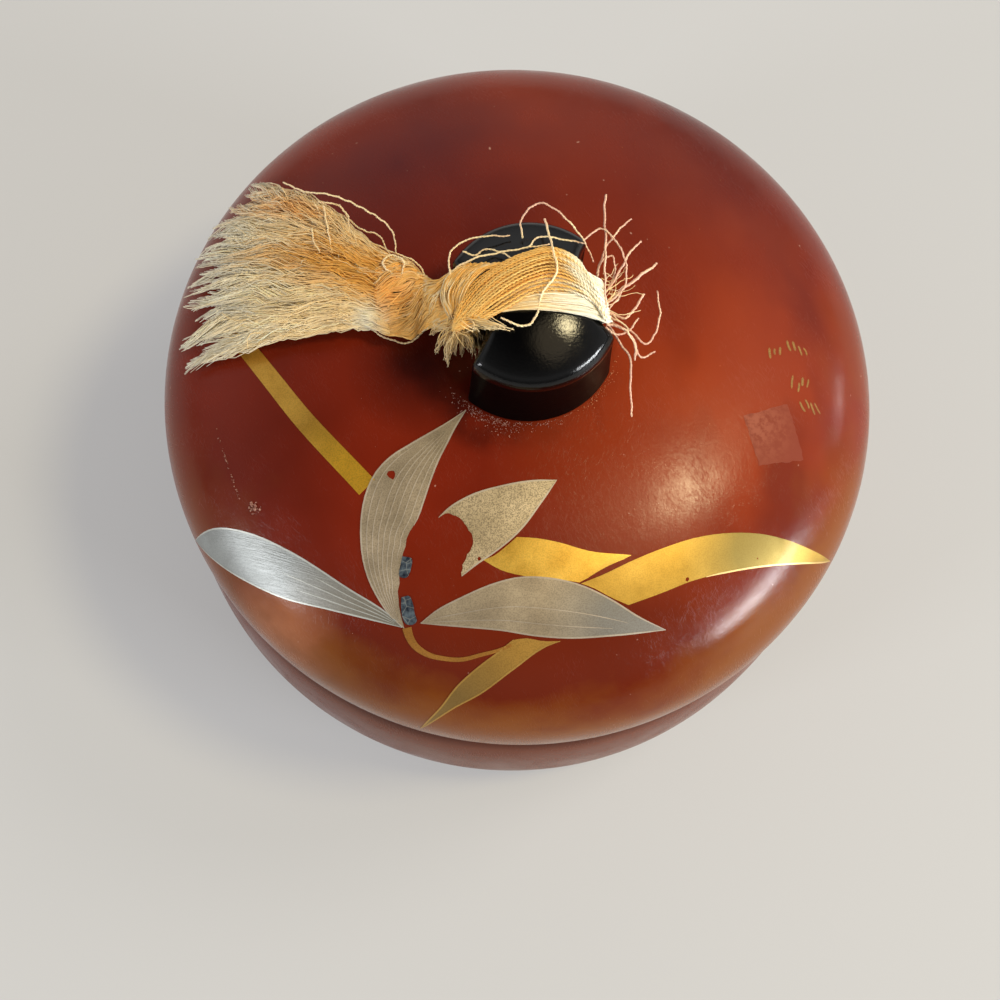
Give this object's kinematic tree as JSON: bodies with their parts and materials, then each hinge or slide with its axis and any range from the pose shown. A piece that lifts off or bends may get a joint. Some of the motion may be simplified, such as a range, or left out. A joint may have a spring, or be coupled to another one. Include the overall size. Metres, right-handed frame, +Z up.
{
  "type": "lacquer trinket box",
  "caption": "Round domed trinket box of red-brown lacquered wood with a lift-off lid, a notched black knob, a silk tassel and an inlaid bamboo spray.",
  "frame": {"origin": "middle of the foot ring's underside", "axes": "+Z up through the knob; +X through the knob's two notches, with the tassel lying towards -X; +Y across the knob's two lobes"},
  "size_m": [0.117, 0.117, 0.0909],
  "materials": {
    "red_lacquer": "polished red-brown lacquer over turned wood, mottled from maroon to amber, with fine scratches",
    "black_lacquer": "polished black lacquer",
    "silk": "loose twisted silk threads, golden at the head and pale straw at the ends",
    "silver_foil": "thin dulled silver foil with engraved pale veins",
    "gold_foil": "thin satin gold foil, slightly worn"
  },
  "bodies": {
    "root": {"box_base": "red_lacquer", "box_lid": "red_lacquer", "knob": "black_lacquer", "silk_tassel": "silk"}
  },
  "joints": []
}
